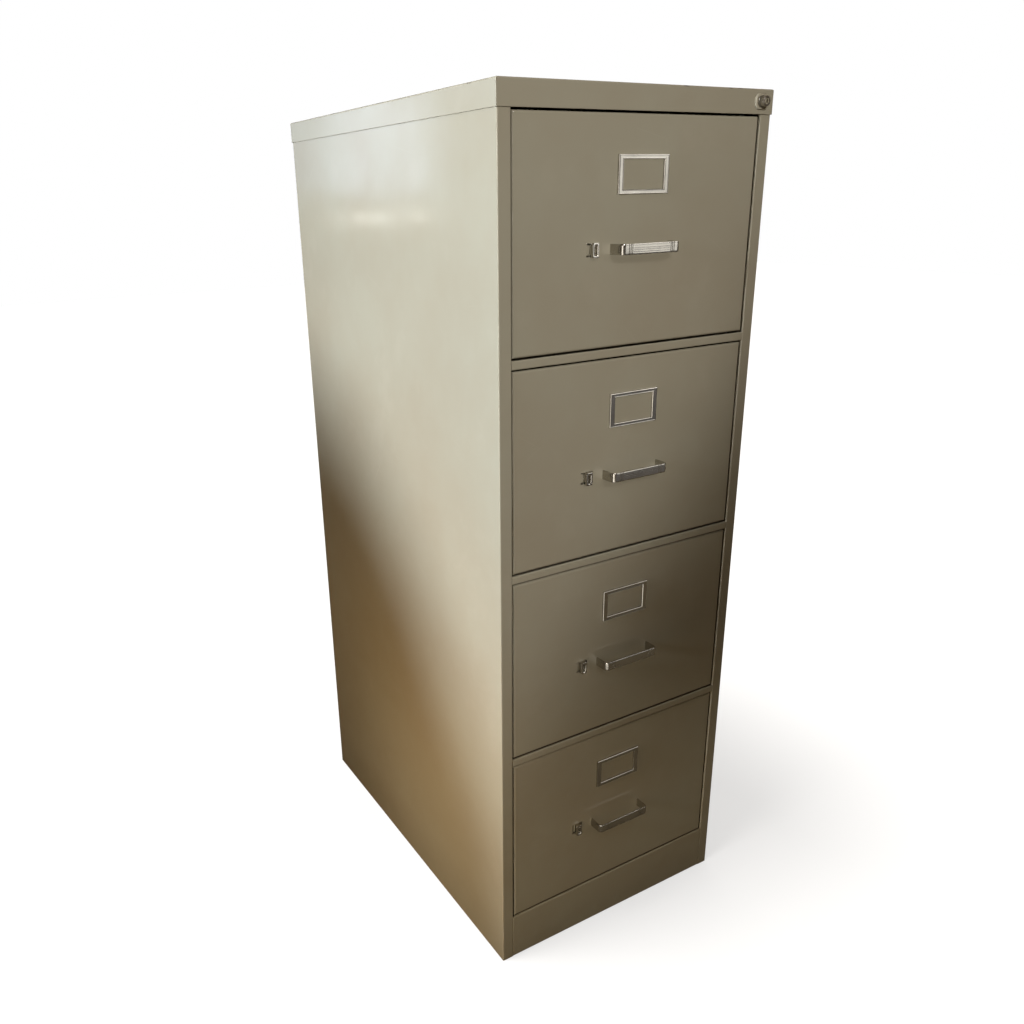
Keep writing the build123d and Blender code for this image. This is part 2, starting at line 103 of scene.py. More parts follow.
enamel = {
    "paint": "9F9B88",         # putty baked enamel
    "paintWorn": "9A937F",     # where years of hands and light have yellowed it
    "chalked": "ABA491",
    "scratched": "C9C1AE",
    "primer": "4A4238",
    "rust": "5E3B22",
    "grime": "5B4E3B",
    # painted shade for the insides of the gaps
    "gapShade": "2B2620",
    "mottle": {"Scale": 1 / (260 * mm), "Detail": 4, "Roughness": 0.6},
    "clouds": {"Scale": 1 / (91 * mm), "Detail": 6, "Roughness": 0.65},
    "scratches": {"Scale": 1 / (150 * mm)},
    "scratchWidth": 0.0018,
    "scratchAreas": {"Scale": 1 / (111.1 * mm), "Detail": 2},
    "specks": {"Scale": 1 / (110 * mm)},
    "speckEdge": {"Scale": 1 / (1.11 * mm), "Detail": 2},
    "speckAreas": {"Scale": 1 / (166.7 * mm), "Detail": 1},
    "rustReach": 450 * mm,     # height above the floor
    "dirt": {"Scale": 1 / (45.5 * mm), "Detail": 5, "Roughness": 0.7},
    "dirtReach": 100 * mm,
    "chips": {"Scale": 1, "Detail": 4, "Roughness": 0.7},
    "chipGrain": (1 / (16.7 * mm), 1 / (16.7 * mm), 1 / (3.85 * mm)),
    "chipAreas": {"Scale": 1 / (125 * mm), "Detail": 1},
    "chipBand": (2.6 * mm, 0.7 * mm),
    "handling": {"Scale": 1 / (71.4 * mm), "Detail": 5, "Roughness": 0.6},
    "roughness": (0.095, 0.205),
    "damageRoughness": 0.45,
    "foldRadius": 1.5 * mm,
    "waves": {"Scale": 1 / (210 * mm), "Detail": 1.5},
    "waveDepth": 0.35 * mm,
    "peel": {"Scale": 1 / (2.6 * mm), "Detail": 1},   # really about 1 mm, drawn coarser so that it shows
    "peelDepth": 0.007 * mm,
    "pitDepth": -0.02 * mm,
    "gapFade": 2.5 * mm,
}


def bakedEnamel(name, place, edgeTop=None, gapFrom=None, gapHalf=None):
    # sprayed and baked alkyd enamel on rolled steel: semi-gloss, faint orange peel, slow waves in the sheet
    material, add, coords = startMaterial(name)
    spot = add("ShaderNodeMapping", {"Vector": coords, "Location": place})
    axes = add("ShaderNodeSeparateXYZ", {0: coords}).node.outputs

    mottle = add("ShaderNodeTexNoise", {"Vector": spot, **enamel["mottle"]})
    worn = add("ShaderNodeMapRange", {"Value": mottle, "From Min": 0.35, "From Max": 0.7})
    color = add("ShaderNodeMix", {0: worn, 6: hexColor(enamel["paint"]), 7: hexColor(enamel["paintWorn"])}, 2,
                data_type="RGBA")
    clouds = add("ShaderNodeTexNoise", {"Vector": spot, **enamel["clouds"]})
    chalk = add("ShaderNodeMapRange", {"Value": clouds, "From Min": 0.55, "From Max": 0.85, "To Max": 0.35})
    color = add("ShaderNodeMix", {0: chalk, 6: color, 7: hexColor(enamel["chalked"])}, 2, data_type="RGBA")

    # hairline scratches: thin walls of large cells, kept only in patches
    bent = add("ShaderNodeVectorMath", {0: spot, 1: (0.35, 0.2, 0.6)}, operation="MULTIPLY")
    walls = add("ShaderNodeTexVoronoi", {"Vector": bent, **enamel["scratches"]}, "Distance",
                feature="DISTANCE_TO_EDGE")
    line = add("ShaderNodeMapRange", {"Value": walls, "From Max": enamel["scratchWidth"], "To Min": 1,
                                      "To Max": 0})
    areas = add("ShaderNodeTexNoise", {"Vector": spot, **enamel["scratchAreas"]})
    areas = add("ShaderNodeMapRange", {"Value": areas, "From Min": 0.56, "From Max": 0.62})
    scratch = add("ShaderNodeMath", {0: line, 1: areas}, operation="MULTIPLY")
    faint = add("ShaderNodeMath", {0: scratch, 1: 0.07}, operation="MULTIPLY")
    color = add("ShaderNodeMix", {0: faint, 6: color, 7: hexColor(enamel["scratched"])}, 2, data_type="RGBA")

    # rust specks, thicker near the floor
    cells = add("ShaderNodeTexVoronoi", {"Vector": spot, **enamel["specks"]}, "Distance")
    reach = add("ShaderNodeMapRange", {"Value": axes["Z"], "From Max": enamel["rustReach"], "To Min": 0.03,
                                       "To Max": 0})
    near = add("ShaderNodeMath", {0: reach, 1: cells}, operation="SUBTRACT")
    edge = add("ShaderNodeTexNoise", {"Vector": spot, **enamel["speckEdge"]})
    edge = add("ShaderNodeMapRange", {"Value": edge, "To Min": -0.012, "To Max": 0})
    ragged = add("ShaderNodeMath", {0: near, 1: edge}, operation="ADD")
    ragged = add("ShaderNodeMapRange", {"Value": ragged, "From Max": 0.004})
    areas = add("ShaderNodeTexNoise", {"Vector": spot, **enamel["speckAreas"]})
    areas = add("ShaderNodeMath", {0: areas, 1: 0.6}, operation="GREATER_THAN")
    damage = add("ShaderNodeMath", {0: ragged, 1: areas}, operation="MULTIPLY")
    color = add("ShaderNodeMix", {0: damage, 6: color, 7: hexColor(enamel["rust"])}, 2, data_type="RGBA")

    # grime that settles low down
    low = add("ShaderNodeMapRange", {"Value": axes["Z"], "From Max": enamel["dirtReach"], "To Min": 0.35,
                                     "To Max": 0})
    dirt = add("ShaderNodeTexNoise", {"Vector": spot, **enamel["dirt"]})
    dirt = add("ShaderNodeMath", {0: low, 1: dirt}, operation="MULTIPLY")
    color = add("ShaderNodeMix", {0: dirt, 6: color, 7: hexColor(enamel["grime"])}, 2, data_type="RGBA")

    if gapFrom is not None:
        # painted shade: deeper than the front, inside the openings, the colour darkens towards near black
        # where the gaps lie in shade
        deep = add("ShaderNodeMapRange", {"Value": axes["Y"], "From Min": gapFrom,
                                          "From Max": gapFrom + enamel["gapFade"], "To Max": 0.8})
        aside = add("ShaderNodeMath", {0: axes["X"]}, operation="ABSOLUTE")
        within = add("ShaderNodeMath", {0: aside, 1: gapHalf}, operation="LESS_THAN")
        gap = add("ShaderNodeMath", {0: deep, 1: within}, operation="MULTIPLY")
        color = add("ShaderNodeMix", {0: gap, 6: color, 7: hexColor(enamel["gapShade"])}, 2, data_type="RGBA")

    if edgeTop is not None:
        # knocks along the top edge of the lid, down to the primer
        below, above = enamel["chipBand"]
        close = add("ShaderNodeMapRange", {"Value": axes["Z"], "From Min": edgeTop - below,
                                           "From Max": edgeTop - above})
        grain = add("ShaderNodeMapping", {"Vector": coords, "Scale": enamel["chipGrain"], "Location": place})
        chips = add("ShaderNodeTexNoise", {"Vector": grain, **enamel["chips"]})
        chips = add("ShaderNodeMapRange", {"Value": chips, "From Min": 0.6, "From Max": 0.64})
        areas = add("ShaderNodeTexNoise", {"Vector": spot, **enamel["chipAreas"]})
        areas = add("ShaderNodeMapRange", {"Value": areas, "From Min": 0.5, "From Max": 0.56})
        chips = add("ShaderNodeMath", {0: close, 1: chips}, operation="MULTIPLY")
        chips = add("ShaderNodeMath", {0: chips, 1: areas}, operation="MULTIPLY")
        color = add("ShaderNodeMix", {0: chips, 6: color, 7: hexColor(enamel["primer"])}, 2, data_type="RGBA")
        damage = add("ShaderNodeMath", {0: damage, 1: chips}, operation="MAXIMUM")

    smooth, dull = enamel["roughness"]
    handling = add("ShaderNodeTexNoise", {"Vector": spot, **enamel["handling"]})
    sheen = add("ShaderNodeMapRange", {"Value": handling, "From Min": 0.3, "From Max": 0.75, "To Min": smooth,
                                       "To Max": dull})
    rough = add("ShaderNodeMath", {0: damage, 1: enamel["damageRoughness"]}, operation="MULTIPLY")
    rough = add("ShaderNodeMath", {0: sheen, 1: rough}, operation="ADD")
    # folded edges are rounded under the coat and catch the light
    normal = add("ShaderNodeBevel", {"Radius": enamel["foldRadius"]}, samples=6)
    waves = add("ShaderNodeTexNoise", {"Vector": spot, **enamel["waves"]})
    peel = add("ShaderNodeTexNoise", {"Vector": spot, **enamel["peel"]})
    reliefs = ((waves, enamel["waveDepth"]), (peel, enamel["peelDepth"]), (damage, enamel["pitDepth"]))
    for height, depth in reliefs:
        normal = add("ShaderNodeBump", {"Height": height, "Distance": depth, "Normal": normal})
    coat(add, {"Base Color": color, "Roughness": rough, "Normal": normal, "IOR": 1.5})
    return material


plating = {
    "nickel": "CBC8C0",
    "dull": "A5A29B",
    "line": "7F7C75",
    "lineSize": 1.2 * mm,       # polishing lines are finer than this, drawn coarser so that they show
    "lineLength": 160 * mm,
    "lineDepth": 0.003 * mm,
    "haze": {"Scale": 1 / (22.2 * mm)},
}


def satinNickel(name, along, roughness):
    # brushed then nickel plated steel: warm grey metal with fine lengthwise lines
    material, add, coords = startMaterial(name)
    fine, slow = 1 / plating["lineSize"], 1 / plating["lineLength"]
    drawn = add("ShaderNodeMapping", {"Vector": coords, "Scale": [fine if axis else slow for axis in along]})
    lines = add("ShaderNodeTexNoise", {"Vector": drawn, "Scale": 1, "Detail": 3, "Roughness": 0.6})
    haze = add("ShaderNodeTexNoise", {"Vector": coords, **plating["haze"]})
    haze = add("ShaderNodeMapRange", {"Value": haze, "From Min": 0.45, "From Max": 0.8, "To Max": 0.5})
    color = add("ShaderNodeMix", {0: haze, 6: hexColor(plating["nickel"]), 7: hexColor(plating["dull"])}, 2,
                data_type="RGBA")
    dark = add("ShaderNodeMapRange", {"Value": lines, "From Min": 0.35, "From Max": 0.65, "To Max": 0.3})
    color = add("ShaderNodeMix", {0: dark, 6: color, 7: hexColor(plating["line"])}, 2, data_type="RGBA")
    rough = add("ShaderNodeMapRange", {"Value": lines, "From Min": 0.3, "From Max": 0.7,
                                       "To Min": roughness - 0.04, "To Max": roughness + 0.08})
    normal = add("ShaderNodeBump", {"Height": lines, "Distance": plating["lineDepth"]})
    coat(add, {"Base Color": color, "Roughness": rough, "Normal": normal, "Metallic": 1.0})
    return material


zinc = {
    "spangled": "8D9090",
    "stained": "77746C",
    "spangle": {"Scale": 1 / (9 * mm)},
    "rolled": (1 / (0.667 * mm), 1 / (55.6 * mm), 1 / (0.667 * mm)),
    "rolledDepth": 0.015 * mm,
    "stain": {"Scale": 1 / (33.3 * mm), "Detail": 5, "Roughness": 0.7},
}


def zincSteel(name, tint, roughness):
    # zinc plated rolled steel: grey with a soft spangle and rolling lines along the part
    material, add, coords = startMaterial(name)
    spangle = add("ShaderNodeTexVoronoi", {"Vector": coords, **zinc["spangle"]}, "Color")
    shade = add("ShaderNodeSeparateColor", {0: spangle})
    shade = add("ShaderNodeMapRange", {"Value": shade, "To Max": 0.35})
    color = add("ShaderNodeMix", {0: shade, 6: hexColor(tint), 7: hexColor(zinc["spangled"])}, 2,
                data_type="RGBA")
    stain = add("ShaderNodeTexNoise", {"Vector": coords, **zinc["stain"]})
    stain = add("ShaderNodeMapRange", {"Value": stain, "From Min": 0.5, "From Max": 0.8, "To Max": 0.5})
    color = add("ShaderNodeMix", {0: stain, 6: color, 7: hexColor(zinc["stained"])}, 2, data_type="RGBA")
    rolled = add("ShaderNodeMapping", {"Vector": coords, "Scale": zinc["rolled"]})
    rolled = add("ShaderNodeTexNoise", {"Vector": rolled, "Scale": 1, "Detail": 2})
    rough = add("ShaderNodeMapRange", {"Value": rolled, "From Min": 0.3, "From Max": 0.7,
                                       "To Min": roughness - 0.06, "To Max": roughness + 0.1})
    normal = add("ShaderNodeBump", {"Height": rolled, "Distance": zinc["rolledDepth"]})
    coat(add, {"Base Color": color, "Roughness": rough, "Normal": normal, "Metallic": 1.0})
    return material


brass = {
    "worn": "C4BCA6",
    "tarnished": "9E957E",
    "tarnish": {"Scale": 1 / (3.33 * mm), "Detail": 3},
    "roughness": 0.4,
    "ringPitch": 0.35 * mm,
    "ringDepth": 0.01 * mm,
}


def turnedBrass(name, centre):
    # face turned brass, its plating worn pale: fine rings round the middle of the plug
    material, add, coords = startMaterial(name)
    local = add("ShaderNodeMapping", {"Vector": coords, "Location": [-c for c in centre]})
    flat = add("ShaderNodeVectorMath", {0: local, 1: (1, 0, 1)}, operation="MULTIPLY")
    radius = add("ShaderNodeVectorMath", {0: flat}, "Value", operation="LENGTH")
    turns = add("ShaderNodeMath", {0: radius, 1: 2 * math.pi / brass["ringPitch"]}, operation="MULTIPLY")
    rings = add("ShaderNodeMath", {0: turns}, operation="SINE")
    tarnish = add("ShaderNodeTexNoise", {"Vector": coords, **brass["tarnish"]})
    tarnish = add("ShaderNodeMapRange", {"Value": tarnish, "From Min": 0.4, "From Max": 0.7})
    color = add("ShaderNodeMix", {0: tarnish, 6: hexColor(brass["worn"]), 7: hexColor(brass["tarnished"])}, 2,
                data_type="RGBA")
    normal = add("ShaderNodeBump", {"Height": rings, "Distance": brass["ringDepth"]})
    coat(add, {"Base Color": color, "Normal": normal, "Metallic": 1.0, "Roughness": brass["roughness"]})
    return material


rubber = {
    "black": "24231F",
    "bloomed": "45433E",
    "bloom": {"Scale": 1 / (8.33 * mm), "Detail": 5, "Roughness": 0.7},
    "roughness": 0.82,
    "grain": {"Scale": 1 / (0.556 * mm), "Detail": 2},
    "grainDepth": 0.03 * mm,
}


def mouldedRubber(name):
    # black moulded rubber, dry and slightly bloomed
    material, add, coords = startMaterial(name)
    bloom = add("ShaderNodeTexNoise", {"Vector": coords, **rubber["bloom"]})
    bloom = add("ShaderNodeMapRange", {"Value": bloom, "From Min": 0.45, "From Max": 0.8})
    color = add("ShaderNodeMix", {0: bloom, 6: hexColor(rubber["black"]), 7: hexColor(rubber["bloomed"])}, 2,
                data_type="RGBA")
    grain = add("ShaderNodeTexNoise", {"Vector": coords, **rubber["grain"]})
    normal = add("ShaderNodeBump", {"Height": grain, "Distance": rubber["grainDepth"]})
    coat(add, {"Base Color": color, "Normal": normal, "Roughness": rubber["roughness"], "IOR": 1.52})
    return material


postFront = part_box("cross_rails")[0].y
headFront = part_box("drawer_1_head")[0].y
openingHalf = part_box("cross_rails")[1].x
# behind the posts' fronts and the heads' faces the paint darkens, as painted shade in the gaps
casePaint = bakedEnamel("puttyEnamelCase", (0, 0, 0), None, postFront + 1.5 * mm, openingHalf + 0.4 * mm)
headPaint = {n: bakedEnamel(f"puttyEnamelHead{n}", (0.37 * n, 0.9, 0.21 * n), None, headFront + 3 * mm, 1.0)
             for n in drawers}
lidPaint = bakedEnamel("puttyEnamelLid", (0.7, 0.2, 0.1), cadHigh.z)
bodyPaint = bakedEnamel("puttyEnamelDrawers", (0.4, 0.9, 0.2))
pullNickel = satinNickel("satinNickelPull", (0, 1, 1), 0.2)
trimNickel = satinNickel("brightNickelTrim", (0, 0, 0), 0.15)
lockNickel = satinNickel("nickelLock", (0, 0, 0), 0.38)
slideZinc = zincSteel("zincSlide", "AEB0AE", 0.34)
rollerSteel = zincSteel("turnedRollerSteel", "9FA1A1", 0.26)
bumperRubber = mouldedRubber("blackRubber")
lockLow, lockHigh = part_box("lock_plug")
lockCentre = (lockLow + lockHigh) / 2
plugBrass = turnedBrass("turnedBrassPlug", lockCentre)
print("materials made")


# Mesh helpers: every piece is a plain mesh with its place in its vertices

def linked(item):
    bpy.context.scene.collection.objects.link(item)
    return item


def smoothed(mesh, sharpAngle):
    mesh.shade_smooth()
    mesh.set_sharp_from_angle(angle=math.radians(sharpAngle))
    return mesh


def meshPiece(name, points, faces, material, sharpAngle=35):
    mesh = bpy.data.meshes.new(name)
    mesh.from_pydata([tuple(p) for p in points], [], faces)
    mesh.validate()
    mesh.materials.append(material)
    return linked(bpy.data.objects.new(name, smoothed(mesh, sharpAngle)))


def joinRings(rings, closedAlong=False):
    # skin over a row of closed rings that all have the same number of points
    points = [p for ring in rings for p in ring]
    size = len(rings[0])
    faces = []
    for i in range(len(rings) if closedAlong else len(rings) - 1):
        a, b = i * size, (i + 1) % len(rings) * size
        for j in range(size):
            k = (j + 1) % size
            faces.append((a + j, a + k, b + k, b + j))
    if not closedAlong:
        faces.append(tuple(reversed(range(size))))
        faces.append(tuple(range((len(rings) - 1) * size, len(rings) * size)))
    return points, faces


def boxes(corners):
    # one mesh of boxes, each given by its lowest and highest corner
    points, faces = [], []
    sides = ((0, 1, 3, 2), (4, 6, 7, 5), (0, 4, 5, 1), (2, 3, 7, 6), (0, 2, 6, 4), (1, 5, 7, 3))
    for low, high in corners:
        start = len(points)
        points += [Vector(corner) for corner in product(*zip(low, high))]
        faces += [tuple(start + i for i in side) for side in sides]
    return points, faces


def settle(piece, body, slotName, *nodes):
    # merge doubles, turn all faces outwards, then hand the piece over
    work = bmesh.new()
    work.from_mesh(piece.data)
    bmesh.ops.remove_doubles(work, verts=work.verts, dist=1e-7)
    bmesh.ops.recalc_face_normals(work, faces=work.faces)
    work.to_mesh(piece.data)
    work.free()
    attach(piece, body)
    if nodes:
        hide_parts(*nodes)
    return piece


def roundedRectangle(centre, width, height, corner, y, steps=5):
    # ring of points in the XZ plane at depth y
    ring = []
    for cornerX, cornerZ, start in ((1, 1, 0), (-1, 1, 90), (-1, -1, 180), (1, -1, 270)):
        for i in range(steps + 1):
            turn = math.radians(start + 90 * i / steps)
            ring.append(Vector((centre.x + cornerX * (width / 2 - corner) + corner * math.cos(turn), y,
                                centre.z + cornerZ * (height / 2 - corner) + corner * math.sin(turn))))
    return ring


def lathedLoop(profile, centre, steps=64):
    # turn a closed loop of (radius, y) pairs about an axis along Y through centre
    rings = []
    for i in range(steps):
        turn = 2 * math.pi * i / steps
        rings.append([Vector((centre.x + r * math.cos(turn), y, centre.z + r * math.sin(turn)))
                      for r, y in profile])
    return joinRings(rings, closedAlong=True)


# Camera at the photograph's viewpoint

view = {
    "place": (-0.8454, -1.2888, 1.1892),
    "yaw": 29.742,
    "pitch": 20.103,
    "roll": -1.459,
    "focalPixels": 894.21,
    "principal": (457.35, 525.83),
    "frame": 1024,
    "sensor": 36,
}


def makeCamera():
    yaw, pitch, roll = (math.radians(view[k]) for k in ("yaw", "pitch", "roll"))
    ahead = Vector((math.sin(yaw) * math.cos(pitch), math.cos(yaw) * math.cos(pitch), -math.sin(pitch)))
    right = Vector((math.cos(yaw), -math.sin(yaw), 0))
    up = right.cross(ahead)
    right, up = math.cos(roll) * right + math.sin(roll) * up, math.cos(roll) * up - math.sin(roll) * right
    data = bpy.data.cameras.new("camera")
    data.sensor_width = view["sensor"]
    data.lens = view["focalPixels"] / view["frame"] * view["sensor"]
    data.shift_x = (view["frame"] / 2 - view["principal"][0]) / view["frame"]
    data.shift_y = (view["principal"][1] - view["frame"] / 2) / view["frame"]
    camera = linked(bpy.data.objects.new("camera", data))
    turned = Matrix((right, up, -ahead)).transposed().to_4x4()
    camera.matrix_world = Matrix.Translation(view["place"]) @ turned
    bpy.context.scene.camera = camera


makeCamera()
print("camera set")


# Finish for the CAD nodes that stay as they are

finishes = {
    "side_panel_left side_panel_right back_panel top_header": casePaint,
    "cross_rails kick_plate rear_base_channel uprights": casePaint,
    "top_cap": lidPaint,
    "case_channels lock_bar lock_bar_guides": slideZinc,
    "rear_bumpers": bumperRubber,
    "lock_housing lock_plunger": lockNickel,
    "lock_plug": plugBrass,
}
for n in drawers:
    finishes[f"drawer_{n}_head"] = headPaint[n]
    for material, parts in ((bodyPaint, "liner tray back follower"), (pullNickel, "pull"),
                            (trimNickel, "label_frame thumb_latch"), (slideZinc, "channels cradle"),
                            (rollerSteel, "rollers")):
        finishes[" ".join(f"drawer_{n}_{part}" for part in parts.split())] = material
for names, material in finishes.items():
    for name in names.split():
        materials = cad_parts[name].data.materials
        materials.clear()
        materials.append(material)
print("frame painted")


# Strap pull

pull = {
    "strap": 3.0 * mm,
    "bend": 5.5 * mm,          # middle of the strap
    "bendSteps": 12,
    "legStart": 4 * mm,        # last station of the straight leg, behind the bend
    "crown": 0.12 * mm,
    "edge": 1.0 * mm,
    "bands": (12.2 * mm, 15.0 * mm, 17.8 * mm),
    "bandWidth": 1.5 * mm,
    "bandDepth": 0.7 * mm,
    "flutes": (-3.9 * mm, -1.3 * mm, 1.3 * mm, 3.9 * mm),
    "fluteWidth": 1.1 * mm,
    "fluteDepth": 0.07 * mm,
    "fluteFrom": 19.5 * mm,
    "fluteRunIn": 1.2 * mm,
}


def pullPath(low, high):
    # stations along the middle of the strap: place, outward direction, band depth, flute depth
    half = (high.x - low.x) / 2 - pull["strap"] / 2
    outer, bend = low.y + pull["strap"] / 2, pull["bend"]
    aside, ahead = Vector((-1, 0, 0)), Vector((0, -1, 0))
    left = [(Vector((-half, high.y, 0)), aside, 0.0, 0.0),
            (Vector((-half, outer + bend + pull["legStart"], 0)), aside, 0.0, 0.0)]
    for i in range(pull["bendSteps"] + 1):
        turn = math.radians(90 * i / pull["bendSteps"])
        direction = Vector((-math.cos(turn), -math.sin(turn), 0))
        left.append((Vector((-half + bend, outer + bend, 0)) + bend * direction, direction, 0.0, 0.0))
    for band in pull["bands"]:
        for shift, depth in ((-0.5, 0), (-0.25, 1), (0.25, 1), (0.5, 0)):
            spot = Vector((low.x + band + shift * pull["bandWidth"], outer, 0))
            left.append((spot, ahead, depth * pull["bandDepth"], 0.0))
    start = low.x + pull["fluteFrom"]
    left.append((Vector((start, outer, 0)), ahead, 0.0, 0.0))
    left.append((Vector((start + pull["fluteRunIn"], outer, 0)), ahead, 0.0, pull["fluteDepth"]))
    right = [(Vector((-p.x, p.y, p.z)), Vector((-d.x, d.y, d.z)), band, flute)
             for p, d, band, flute in reversed(left)]
    return left + right


def strapSection(height, band, flute):
    # (outward, upward) points round the strap: fluted face, rounded edges, flat back
    half, thick, edge = height / 2, pull["strap"] / 2, pull["edge"]
    cut = 0.3 * edge
    face = [(-(half - edge), 0.0)]
    for middle in pull["flutes"]:
        for shift, depth in ((-0.5, 0), (-0.2, flute), (0.2, flute), (0.5, 0)):
            face.append((middle + shift * pull["fluteWidth"], depth))
    face.append((half - edge, 0.0))
    ring = [(thick - pull["crown"] * (up / half) ** 2 - band - depth, up) for up, depth in face]
    top = ring[-1][0]
    return ring + [(top - cut, half - cut), (top - edge, half), (-thick + edge, half),
                   (-thick + cut, half - cut), (-thick, half - edge), (-thick, edge - half),
                   (-thick + cut, cut - half), (-thick + edge, -half), (top - edge, -half),
                   (top - cut, cut - half)]


def makePull(n):
    node = f"drawer_{n}_pull"
    low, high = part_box(node)
    middle = Vector(((low.x + high.x) / 2, 0, (low.z + high.z) / 2))
    shift = Vector((middle.x, 0, 0))
    rings = [[middle + spot + direction * out + Vector((0, 0, up))
              for out, up in strapSection(high.z - low.z, band, flute)]
             for spot, direction, band, flute in pullPath(low - shift, high - shift)]
    piece = meshPiece(f"strapPull{n}", *joinRings(rings), pullNickel, 40)
    return settle(piece, f"drawer_{n}", "pull_plate", node)


# Label frame: one section carried round the window, mitred at the corners

labelFrame = {
    "window": (68 * mm, 36.5 * mm),
    "mitre": 0.3 * mm,         # a ring this far on each side keeps the shading of the rails straight
    # share of the way from outer to inner edge, height above the drawer face as a share of the full rise
    "section": ((0.0, 0.0), (0.0, 0.55), (0.03, 0.75), (0.08, 0.91), (0.13, 0.98), (0.17, 1.0), (0.21, 0.99),
                (0.26, 0.955), (0.31, 0.945), (0.69, 0.945), (0.74, 0.955), (0.79, 0.99), (0.83, 1.0),
                (0.87, 0.98), (0.92, 0.88), (0.97, 0.70), (1.0, 0.45), (1.0, 0.30), (0.52, 0.30), (0.52, 0.0)),
}


def makeLabelFrame(n):
    node = f"drawer_{n}_label_frame"
    low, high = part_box(node)
    centre = (low + high) / 2
    outerX, outerZ = (high.x - low.x) / 2, (high.z - low.z) / 2
    innerX, innerZ = (side / 2 for side in labelFrame["window"])
    rings = []
    for sideX, sideZ, before, after in ((-1, -1, (0, 1), (1, 0)), (1, -1, (-1, 0), (0, 1)),
                                        (1, 1, (0, -1), (-1, 0)), (-1, 1, (1, 0), (0, -1))):
        for alongX, alongZ in (before, (0, 0), after):
            cornerX = centre.x + alongX * labelFrame["mitre"]
            cornerZ = centre.z + alongZ * labelFrame["mitre"]
            rings.append([Vector((cornerX + sideX * (outerX + share * (innerX - outerX)),
                                  high.y - rise * (high.y - low.y),
                                  cornerZ + sideZ * (outerZ + share * (innerZ - outerZ))))
                          for share, rise in labelFrame["section"]])
    piece = meshPiece(f"labelFrame{n}", *joinRings(rings, closedAlong=True), trimNickel, 25)
    return settle(piece, f"drawer_{n}", "trim_plate", node)


# Thumb latch: open cup that the thumb pushes to the right

latch = {
    "width": 11 * mm,
    "height": 19 * mm,
    "corner": 2.2 * mm,
    "rim": 0.7 * mm,
    "slotWidth": 4.2 * mm,
    "slotHeight": 12.5 * mm,
    # wider by, depth
    "slotSteps": ((1.2 * mm, 0), (0.8 * mm, 0.2 * mm), (0.3 * mm, 0.9 * mm), (0, 1.8 * mm)),
    "slotFloor": 1 * mm,
    "offset": -80 * mm,
    "barHeight": 13 * mm,
    "barSheet": 2 * mm,
    "barDepth": 4 * mm,
    "shank": 8 * mm,
    "shankFront": 0.5 * mm,
    "coverFront": 1.6 * mm,     # a plate just behind the head's sheet hides the room for the travel
    "coverReach": 15.5 * mm,
}


def makeLatch(n):
    node = f"drawer_{n}_thumb_latch"
    low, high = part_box(node)
    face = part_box(f"drawer_{n}_head")[0].y
    centre = Vector((latch["offset"], 0, (low.z + high.z) / 2))
    front, rim = low.y, latch["rim"]

    def outer(inset, y):
        return roundedRectangle(centre, latch["width"] - 2 * inset, latch["height"] - 2 * inset,
                                latch["corner"] - 0.8 * inset, y)

    def inner(grow, y):
        width, height = latch["slotWidth"] + 2 * grow, latch["slotHeight"] + 2 * grow
        return roundedRectangle(centre, width, height, 0.45 * width, y)

    rings = [outer(0.4 * mm, face - 0.3 * mm), outer(0, face - 0.9 * mm), outer(0, front + rim),
             outer(0.3 * rim, front + 0.3 * rim), outer(rim, front)]
    rings += [inner(grow, front + depth) for grow, depth in latch["slotSteps"]]
    rings.append(inner(0, face - latch["slotFloor"]))
    cup = meshPiece(f"thumbLatch{n}", *joinRings(rings), trimNickel, 40)
    settle(cup, f"thumb_latch_{n}", "trim_plate", node)

    left, right = centre.x - latch["shank"] / 2, centre.x + latch["shank"] / 2
    below, above = centre.z - latch["barHeight"] / 2, centre.z + latch["barHeight"] / 2
    barFront, barBack = face + latch["barDepth"], face + latch["barDepth"] + latch["barSheet"]
    coverLeft, coverFront = centre.x - latch["coverReach"], face + latch["coverFront"]
    shape = boxes((((left, face - latch["shankFront"], below), (right, barFront, above)),
                   ((low.x, barFront, below), (right, barBack, above)),
                   ((coverLeft, coverFront, below), (left, barFront, above))))
    settle(meshPiece(f"latchBar{n}", *shape, bodyPaint), f"thumb_latch_{n}", "drawer_paint")
    return cup


trim = []
for n in drawers:
    trim += [makePull(n), makeLabelFrame(n), makeLatch(n)]
print("pulls, label frames and latches made")


# Lock: pressed seat in the lid, nickel bezel, push-in cylinder with its plug

lock = {
    "seatWidth": 25 * mm,
    "seatHeight": 20.5 * mm,
    "seatCorner": 7.5 * mm,
    "seatRise": 2.1 * mm,
    # inset from the seat's edge, share of the rise
    "seatSteps": ((-0.2 * mm, 0.15), (0.2 * mm, 0.7), (0.8 * mm, 0.95), (1.6 * mm, 1.0), (3.2 * mm, 0.9),
                  (3.6 * mm, 0.3)),
    "bezelRadius": 8.2 * mm,
    "bezelRise": 0.5 * mm,
    "bezelLip": 0.8 * mm,
    "boreRadius": 7.15 * mm,
    "chamfer": 0.3 * mm,
    "keyWidth": 2.2 * mm,
    "keyHeight": 6.2 * mm,
    "keyDepth": 9 * mm,
}


